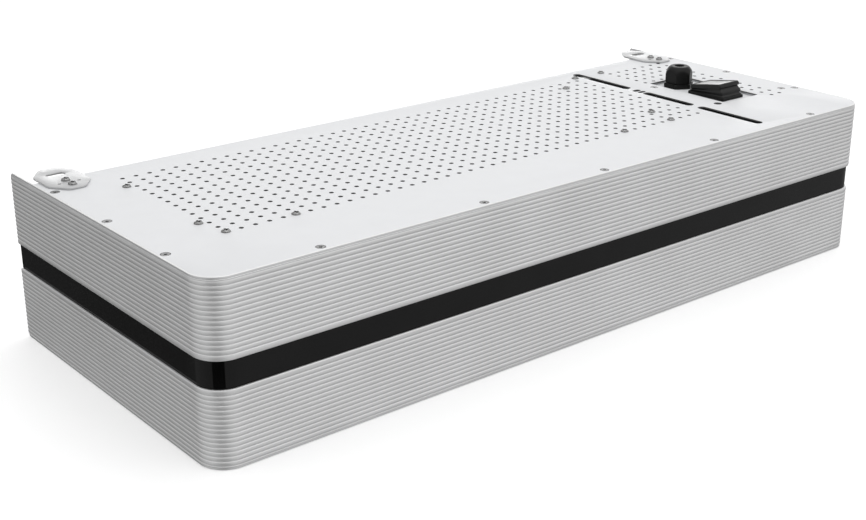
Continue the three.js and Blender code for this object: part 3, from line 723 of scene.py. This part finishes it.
def tipped(points):
    """Points of the level rocker, round its pin, turned to the rest position and put in place."""
    sine, cosine = math.sin(ROCKER_TILT), math.cos(ROCKER_TILT)
    turn = np.array([[1, 0, 0], [0, cosine, -sine], [0, sine, cosine]])
    return points @ turn.T + [SWITCH_X, SWITCH_Y, PIVOT_Z]


def switch_rocker(finish):
    """A cap with a rolled lip and a hub under it. Inside the lip the top is dished: its height grows with
    the square of the distance from the pin."""
    top = ROCKER_TOP / MM
    side = [
        (0.5, 10.0, 0.2, top - 1.9),
        (33.4, 43.2, 1.2, top - 1.9),
        (33.6, 43.4, 1.2, top - 5.0),
        (35.8, 45.6, 1.6, top - 5.0),
        (36.6, 46.4, 1.9, top - 4.6),
        (36.8, 46.6, 2.0, top - 3.9),
        (36.8, 46.6, 2.0, top - 3.0),
        (36.3, 46.1, 1.9, top - 2.0),
        (35.1, 44.8, 1.7, top - 0.6),
        (34.4, 44.0, 1.5, top - 0.1),
        (33.6, 43.2, 1.3, top),
        (32.6, 42.2, 1.1, top),
        (32.0, 41.6, 1.0, top - 0.3),
    ]
    rows = stacked([(w, l, r, z * MM) for w, l, r, z in side], 0, 0)
    rim = rows[-1, :, :2]
    dish = []
    for share in np.linspace(1, 0, 13)[1:]:
        loop = rim * share
        height = (top - 0.4) * MM - 0.8 * MM * (1 - (loop[:, 1] / rim[:, 1].max()) ** 2)
        dish.append(np.column_stack([loop, height]))
    cap = capped(np.concatenate([rows, np.stack(dish)]))
    hub_levels = [(16, 7, 0.8, -4 * MM), (16, 8, 1.2, -3.4 * MM), (16, 8, 1.2, (top - 1.2) * MM)]
    hub = capped(stacked(hub_levels, 0, 0, corner_steps=3))
    points, faces = together(cap, hub)
    surface = (tipped(points), faces)
    make("switch_rocker", surface, finish, "rocker", ["switch_rocker"], sharp=40)


def switch_bellows(finish):
    """The rubber sleeve from the flange up into the rocker's cap. Its loops are rounded rectangles whose
    size goes in and out with s, the share of the way from the flange to the cap's open edge. A point's
    height is the flange's plus s times the cap edge's height over it, which slopes with the rocker."""
    folds = [
        (35.6, 52.0, 2.0, 0.00),
        (35.9, 52.3, 2.1, 0.05),
        (35.2, 51.6, 2.0, 0.11),
        (33.8, 49.8, 1.6, 0.17),
        (33.4, 49.2, 1.5, 0.22),
        (34.4, 49.8, 1.7, 0.30),
        (36.0, 50.9, 2.2, 0.41),
        (36.5, 51.1, 2.4, 0.50),
        (36.0, 50.4, 2.2, 0.58),
        (34.0, 47.8, 1.7, 0.70),
        (33.2, 46.1, 1.5, 0.80),
        (33.0, 44.4, 1.4, 0.92),
        (32.8, 43.0, 1.3, 1.02),
        (32.6, 42.6, 1.3, 1.24),
    ]
    wall = 1.6
    inner = [(w - 2 * wall, l - 2 * wall, max(r - wall, 0.5), s) for w, l, r, s in folds[::-1]]
    rows = []
    for wide, long, radius, share in folds + inner:
        loop = rounded_box(0, 0, wide * MM, long * MM, radius * MM, 6)
        middle = SWITCH_Y - share * ROCKER_TOP * math.sin(ROCKER_TILT) * 0.9
        edge = PIVOT_Z + ROCKER_TOP - 5 * MM - loop[:, 1] * math.tan(-ROCKER_TILT)
        height = FLANGE_TOP + 0.05 * MM + share * (edge - FLANGE_TOP)
        rows.append(np.column_stack([SWITCH_X + loop[:, 0], middle + loop[:, 1], height]))
    surface = grid(np.stack(rows), close_rows=True, close_columns=True)
    names = ["switch_bellows"]
    sleeve = make("switch_bellows", surface, finish, None, names, sharp=60)
    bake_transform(sleeve)


# ---------------------------------------------------------------- finishes
class Finish:
    """A Principled material and short ways to add the nodes that vary it over the surface."""

    def __init__(self, name, **sockets):
        self.material = bpy.data.materials.new(name)
        self.material.use_nodes = True
        self.tree = self.material.node_tree
        self.shader = self.tree.nodes["Principled BSDF"]
        for socket, value in sockets.items():
            self.shader.inputs[socket.replace("_", " ")].default_value = value
        self.place = self.tree.nodes.new("ShaderNodeTexCoord").outputs["Object"]

    def node(self, kind, inputs=None, **settings):
        node = self.tree.nodes.new(kind)
        for key, value in settings.items():
            setattr(node, key, value)
        for socket, value in (inputs or {}).items():
            if isinstance(value, bpy.types.NodeSocket):
                self.tree.links.new(value, node.inputs[socket])
            else:
                node.inputs[socket].default_value = value
        return node

    def stretched(self, x, y, z):
        return self.node("ShaderNodeMapping", {"Vector": self.place, "Scale": (x, y, z)}).outputs[0]

    def noise(self, scale, detail=3, stretch=(1, 1, 1)):
        inputs = {"Vector": self.stretched(*stretch), "Scale": scale, "Detail": detail}
        return self.node("ShaderNodeTexNoise", inputs).outputs["Fac"]

    def ramp(self, factor, stops):
        node = self.node("ShaderNodeValToRGB", {"Fac": factor})
        points = node.color_ramp.elements
        while len(points) < len(stops):
            points.new(0.5)
        for point, (place, colour) in zip(points, stops):
            point.position = place
            point.color = colour
        return node.outputs["Color"]

    def spread(self, factor, low, high):
        inputs = {"Value": factor, "To Min": low, "To Max": high}
        return self.node("ShaderNodeMapRange", inputs).outputs[0]

    def set(self, socket, value):
        self.tree.links.new(value, self.shader.inputs[socket])

    def bump(self, factor, height, strength=1.0):
        inputs = {"Height": factor, "Distance": height, "Strength": strength}
        self.set("Normal", self.node("ShaderNodeBump", inputs).outputs[0])


def grey(value, warm=0.0):
    return (value * (1 + warm), value, value * (1 - warm), 1)


def ribbed_aluminium():
    """Satin anodised aluminium, drawn lengthwise: fine streaks along the ribs and a faint cloud."""
    f = Finish("ribbed_aluminium", Metallic=1.0)
    streaks = f.noise(60, 4, (1, 1, 60))
    cloud = f.noise(14, 3)
    both = f.node("ShaderNodeMath", {0: streaks, 1: cloud}, operation="MULTIPLY_ADD")
    both.inputs[2].default_value = 0.25
    f.set("Base Color", f.ramp(both.outputs[0], [(0.3, grey(0.74)), (0.75, grey(0.84, -0.004))]))
    f.set("Roughness", f.spread(streaks, 0.42, 0.52))
    f.bump(streaks, 0.02 * MM, 0.35)
    return f.material


def gloss_black():
    """Black gloss acrylic: a hard mirror with the slightest orange peel and a few dust-dull patches."""
    f = Finish("gloss_black", IOR=1.45, Specular_IOR_Level=0.28)
    cloud = f.noise(30, 4)
    f.set("Base Color", f.ramp(cloud, [(0.35, grey(0.0018)), (0.7, grey(0.0032))]))
    f.set("Roughness", f.spread(cloud, 0.02, 0.06))
    f.bump(f.noise(220, 2), 0.004 * MM, 0.2)
    return f.material


def white_coat():
    """Pale powder coat: an even field of fine peel with a very faint mottle."""
    f = Finish("white_coat", IOR=1.4)
    mottle = f.noise(45, 4)
    peel = f.noise(900, 2)
    stops = [(0.3, (0.708, 0.714, 0.727, 1)), (0.7, (0.720, 0.727, 0.740, 1))]
    f.set("Base Color", f.ramp(mottle, stops))
    f.set("Roughness", f.spread(peel, 0.5, 0.66))
    f.bump(peel, 0.02 * MM, 0.2)
    return f.material


def painted_shade_wall():
    """The wall of an opening, coloured a dull dark grey as painted shade standing in for the shade inside
    it, with fine vertical tear marks.
    """
    f = Finish("painted_shade_wall", Metallic=0.3)
    tear = f.noise(900, 3, (1, 1, 0.15))
    f.set("Base Color", f.ramp(tear, [(0.3, grey(0.10)), (0.7, grey(0.19))]))
    f.set("Roughness", f.spread(tear, 0.55, 0.8))
    f.bump(tear, 0.03 * MM, 0.4)
    return f.material


def zinc_steel():
    """Galvanised sheet: angular spangles of slightly different grey and gloss."""
    f = Finish("zinc_steel", Metallic=0.9)
    spangle = f.node("ShaderNodeTexVoronoi", {"Vector": f.place, "Scale": 130.0}).outputs["Color"]
    tone = f.node("ShaderNodeSeparateColor", {"Color": spangle}).outputs["Red"]
    f.set("Base Color", f.ramp(tone, [(0.0, grey(0.42)), (1.0, grey(0.62))]))
    f.set("Roughness", f.spread(tone, 0.36, 0.55))
    f.bump(f.noise(500, 3), 0.02 * MM, 0.2)
    return f.material


def satin_steel():
    """Brushed stainless plate: short streaks across the bracket."""
    f = Finish("satin_steel", Metallic=0.85)
    streaks = f.noise(70, 5, (1, 18, 18))
    f.set("Base Color", f.ramp(streaks, [(0.3, grey(0.50, -0.006)), (0.72, grey(0.62, -0.006))]))
    f.set("Roughness", f.spread(streaks, 0.34, 0.5))
    f.bump(streaks, 0.015 * MM, 0.3)
    return f.material


def screw_steel(name, dull, bright):
    """Plated screw: metal with fine turning marks and dulled spots."""
    f = Finish(name, Metallic=1.0)
    spots = f.noise(900, 3)
    f.set("Base Color", f.ramp(spots, [(0.35, grey(dull)), (0.65, grey(bright))]))
    f.set("Roughness", f.spread(spots, 0.18, 0.36))
    f.bump(spots, 0.01 * MM, 0.2)
    return f.material


def black_nylon():
    """Moulded glass-filled nylon: fine grain and faint flow marks."""
    f = Finish("black_nylon", IOR=1.45, Specular_IOR_Level=0.3)
    grain = f.noise(1400, 3)
    flow = f.noise(90, 4, (1, 1, 0.4))
    f.set("Base Color", f.ramp(flow, [(0.3, grey(0.0015)), (0.7, grey(0.0035))]))
    f.set("Roughness", f.spread(grain, 0.34, 0.5))
    f.bump(grain, 0.02 * MM, 0.4)
    return f.material


def black_rubber():
    """Moulded silicone rubber, a little dusty, smooth enough to catch the light on flat faces."""
    f = Finish("black_rubber", IOR=1.5, Specular_IOR_Level=0.36)
    dust = f.noise(260, 5)
    f.set("Base Color", f.ramp(dust, [(0.35, grey(0.0015)), (0.75, grey(0.004))]))
    f.set("Roughness", f.spread(dust, 0.26, 0.42))
    f.bump(f.noise(1500, 2), 0.01 * MM, 0.3)
    return f.material


def busbar_copper():
    """Bare copper with a light tarnish."""
    f = Finish("copper", Metallic=1.0)
    tarnish = f.noise(160, 5)
    stops = [(0.3, (0.50, 0.22, 0.12, 1)), (0.7, (0.78, 0.42, 0.27, 1))]
    f.set("Base Color", f.ramp(tarnish, stops))
    f.set("Roughness", f.spread(tarnish, 0.22, 0.45))
    f.bump(tarnish, 0.01 * MM, 0.2)
    return f.material


def module_case():
    """Blue moulded battery case with fine grain."""
    f = Finish("module_case", IOR=1.45)
    cloud = f.noise(25, 4)
    grain = f.noise(1200, 2)
    stops = [(0.3, (0.022, 0.06, 0.13, 1)), (0.7, (0.035, 0.085, 0.17, 1))]
    f.set("Base Color", f.ramp(cloud, stops))
    f.set("Roughness", f.spread(grain, 0.42, 0.6))
    f.bump(grain, 0.02 * MM, 0.3)
    return f.material


def circuit_board(name, along, board_side):
    """Green board with paler tracks on its own sheet, and dark parts beyond it along the given axis."""
    f = Finish(name, IOR=1.45)
    cells = f.node("ShaderNodeTexBrick", {"Vector": f.place, "Scale": 90.0, "Mortar Size": 0.035})
    cells.inputs["Color1"].default_value = (0.010, 0.075, 0.032, 1)
    cells.inputs["Color2"].default_value = (0.014, 0.095, 0.04, 1)
    cells.inputs["Mortar"].default_value = (0.05, 0.19, 0.08, 1)
    place = f.node("ShaderNodeSeparateXYZ", {"Vector": f.place}).outputs[along]
    beyond = f.node("ShaderNodeMath", {0: place, 1: board_side}, operation="GREATER_THAN").outputs[0]
    marks = f.noise(300, 3)
    parts = f.ramp(marks, [(0.4, grey(0.014)), (0.6, grey(0.035))])
    choice = {"Factor": beyond, 6: cells.outputs["Color"], 7: parts}
    mixed = f.node("ShaderNodeMix", choice, data_type="RGBA")
    f.set("Base Color", mixed.outputs[2])
    f.set("Roughness", f.spread(marks, 0.3, 0.55))
    f.bump(marks, 0.02 * MM, 0.3)
    return f.material


def grey_plastic():
    """Pale grey moulded terminal block."""
    f = Finish("grey_plastic", IOR=1.45)
    cloud = f.noise(60, 4)
    grain = f.noise(1200, 2)
    f.set("Base Color", f.ramp(cloud, [(0.3, grey(0.24)), (0.7, grey(0.32))]))
    f.set("Roughness", f.spread(grain, 0.4, 0.6))
    f.bump(grain, 0.02 * MM, 0.3)
    return f.material


def finish_cad_nodes(finishes):
    """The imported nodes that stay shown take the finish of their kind."""
    kinds = {
        "zinc_steel": [
            "rear_panel",
            "left_bulkhead",
            "right_bulkhead",
            "module_clamp_rail",
            "electronics_bracket",
            "rocker_pin",
        ],
        "white_coat": ["connection_tray"],
        "black_nylon": ["gland_slip_ring", "gland_lock_nut"],
        "copper": ["switch_terminals", "busbar_1", "busbar_2"],
        "module_case": ["battery_module_1", "battery_module_2", "battery_module_3"],
        "ribbed_aluminium": ["heat_sink"],
        "grey_plastic": ["mains_terminal_block"],
    }
    chosen = {node: finishes[kind] for kind, nodes in kinds.items() for node in nodes}
    board = 1.7 * MM  # just past a board's own sheet
    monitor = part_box("battery_monitor_board")[0].x + board
    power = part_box("power_board")[0].z + board
    chosen["battery_monitor_board"] = circuit_board("monitor_board", "X", monitor)
    chosen["power_board"] = circuit_board("power_board", "Z", power)
    for node, finish in chosen.items():
        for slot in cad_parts[node].material_slots:
            slot.material = finish


# ---------------------------------------------------------------- studio
NADIR_SCREENS = [(0, 0.6), (22, 0.6), (26, 0.28), (70, 0.28), (76, 0.66), (121, 0.6), (146, 0.36)]
NADIR_SCREENS += [(190, 0.4), (285, 0.24), (299, 0.24), (320, 0.45), (345, 0.58), (360, 0.6)]
LOW_SCREENS = [(0, 0.46), (22, 0.46), (24, 0.03), (71, 0.03), (73, 0.6), (121, 0.55), (150, 0.45)]
LOW_SCREENS += [(190, 0.2), (210, 0.09), (298.3, 0.09), (299, 0.2), (320, 0.34), (345, 0.46)]
LOW_SCREENS += [(360, 0.46)]
TALL_SCREENS = [(0, 0.8), (20, 0.8), (30, 0.15), (64, 0.15), (74, 0.95), (100, 0.85), (121, 0.72)]
TALL_SCREENS += [(146, 0.44), (195, 0.9), (205, 1.15), (245, 1.15), (262, 0.45), (275, 0.24)]
TALL_SCREENS += [(298, 0.24), (312, 0.8), (360, 0.8)]
BACK_SCREENS = [(0, 0.8), (190, 0.8), (200, 4.0), (250, 4.0), (262, 0.4), (300, 0.4), (360, 0.6)]
CEILING = 0.9
BACKDROP = 0.92  # what the camera sees behind the object


def studio_floor():
    """A wide pale floor under the object."""
    size = 14.0
    mesh = bpy.data.meshes.new("studio_floor")
    corners = [(-size, -size, 0), (size, -size, 0), (size, size, 0), (-size, size, 0)]
    mesh.from_pydata(corners, [], [[0, 1, 2, 3]])
    floor = bpy.data.objects.new("studio_floor", mesh)
    bpy.context.scene.collection.objects.link(floor)
    f = Finish("studio_floor", Roughness=0.9, Emission_Color=grey(1), Emission_Strength=0.2)
    f.set("Base Color", f.ramp(f.noise(2, 2), [(0.3, grey(0.93)), (0.7, grey(0.95))]))
    mesh.materials.append(f.material)
    floor.location.z = -0.5 * MM
    floor.visible_glossy = False


def studio_world():
    """The studio round the object, by compass direction: two tall pale screens in front, a dark gap
    between them where the camera stands, and a dim left. The screens are darker low down, where mostly
    the band mirrors them, a bright strip stands along the horizon behind the object, and a pale ceiling
    closes them above. Seen straight on, the studio is plain and pale."""
    world = bpy.data.worlds.new("studio")
    bpy.context.scene.world = world
    world.use_nodes = True
    nodes, links = world.node_tree.nodes, world.node_tree.links
    direction = nodes.new("ShaderNodeTexCoord").outputs["Generated"]
    parts = nodes.new("ShaderNodeSeparateXYZ")
    links.new(direction, parts.inputs[0])
    turn = nodes.new("ShaderNodeMath")
    turn.operation = "ARCTAN2"
    links.new(parts.outputs["Y"], turn.inputs[0])
    links.new(parts.outputs["X"], turn.inputs[1])
    share = nodes.new("ShaderNodeMapRange")
    share.inputs["From Min"].default_value = -math.pi
    share.inputs["From Max"].default_value = math.pi
    links.new(turn.outputs[0], share.inputs["Value"])

    def screens(levels):
        """Light by direction: degrees anticlockwise from -X, and how bright the studio is there."""
        around = nodes.new("ShaderNodeValToRGB")
        links.new(share.outputs[0], around.inputs["Fac"])
        points = around.color_ramp.elements
        while len(points) < len(levels):
            points.new(0.5)
        for point, (degrees, level) in zip(points, levels):
            point.position = degrees / 360
            point.color = grey(level)
        return around.outputs["Color"]

    def blend(below, above, start, end):
        """Runs from one colour to the other as the direction's height goes from start to end."""
        rise = nodes.new("ShaderNodeMapRange")
        rise.interpolation_type = "SMOOTHSTEP"
        rise.inputs["From Min"].default_value = start
        rise.inputs["From Max"].default_value = end
        links.new(parts.outputs["Z"], rise.inputs["Value"])
        mix = nodes.new("ShaderNodeMix")
        mix.data_type = "RGBA"
        links.new(rise.outputs[0], mix.inputs["Factor"])
        links.new(below, mix.inputs[6])
        links.new(above, mix.inputs[7])
        return mix.outputs[2]

    low = blend(screens(NADIR_SCREENS), screens(LOW_SCREENS), -0.52, -0.46)
    walls = blend(low, screens(TALL_SCREENS), -0.28, -0.22)
    ceiling = screens([(0, CEILING), (360, CEILING)])
    backdrop = blend(walls, screens(BACK_SCREENS), -0.2, -0.1)
    upper = blend(backdrop, screens(TALL_SCREENS), 0.1, 0.2)
    around = blend(upper, ceiling, 0.25, 0.7)
    seen = nodes.new("ShaderNodeLightPath").outputs["Is Camera Ray"]
    shown = nodes.new("ShaderNodeMix")
    shown.data_type = "RGBA"
    links.new(seen, shown.inputs["Factor"])
    links.new(around, shown.inputs[6])
    shown.inputs[7].default_value = grey(BACKDROP)
    links.new(shown.outputs[2], nodes["Background"].inputs["Color"])


def soft_box(name, place, target, size, power):
    """A square area light that faces its target."""
    light = bpy.data.lights.new(name, "AREA")
    light.shape = "RECTANGLE"
    light.size, light.size_y = size
    light.energy = power
    lamp = bpy.data.objects.new(name, light)
    lamp.location = place
    lamp.rotation_euler = (Vector(target) - Vector(place)).to_track_quat("-Z", "Y").to_euler()
    bpy.context.scene.collection.objects.link(lamp)


def studio_lights():
    soft_box("ceiling_light", (0.2, -0.2, 2.6), (0, 0, 0.1), (3.0, 2.4), 17.8)
    soft_box("front_light", (1.6, -2.2, 1.5), (0.1, 0, 0.1), (1.6, 1.2), 4.4)


def camera():
    """The viewpoint: above the left front corner, turned to the right and looking down on the case."""
    lens = bpy.data.cameras.new("camera")
    lens.sensor_width = 36
    lens.lens = 58.09
    lens.clip_end = 60
    stand = bpy.data.objects.new("camera", lens)
    stand.location = (-0.96608, -1.11686, 0.60412)
    stand.rotation_euler = [math.radians(a) for a in (90 - 21.201, 0.032, -39.154)]
    bpy.context.scene.collection.objects.link(stand)
    bpy.context.scene.camera = stand


# ---------------------------------------------------------------- putting it together
def main():
    finishes = {
        "ribbed_aluminium": ribbed_aluminium(),
        "gloss_black": gloss_black(),
        "white_coat": white_coat(),
        "zinc_steel": zinc_steel(),
        "satin_steel": satin_steel(),
        "flush_screw_steel": screw_steel("flush_screw_steel", 0.18, 0.30),
        "raised_screw_steel": screw_steel("raised_screw_steel", 0.2, 0.36),
        # dark grey painted shade for the walls of the top plate's openings
        "painted_shade_wall": painted_shade_wall(),
        "black_nylon": black_nylon(),
        "black_rubber": black_rubber(),
        "copper": busbar_copper(),
        "module_case": module_case(),
        "grey_plastic": grey_plastic(),
    }
    camera()
    studio_floor()
    studio_world()
    studio_lights()
    ribbed_wrap("upper_ribbed_wrap", TOP, -1, finishes["ribbed_aluminium"])
    ribbed_wrap("lower_ribbed_wrap", 0, 1, finishes["ribbed_aluminium"])
    gloss_band(finishes["gloss_black"])
    top_plate(finishes["white_coat"], finishes["painted_shade_wall"])
    bottom_plate(finishes["white_coat"])
    for side in ("left", "right"):
        wall_bracket(f"{side}_wall_bracket", finishes["satin_steel"])
    screws(finishes["flush_screw_steel"], finishes["raised_screw_steel"])
    dome_nut(finishes["black_nylon"])
    gland_body(finishes["black_nylon"])
    gland_seal(finishes["black_rubber"])
    switch_bezel(finishes["black_nylon"])
    switch_rocker(finishes["black_rubber"])
    switch_bellows(finishes["black_rubber"])
    finish_cad_nodes(finishes)
    bpy.context.scene.view_settings.view_transform = "Standard"


main()
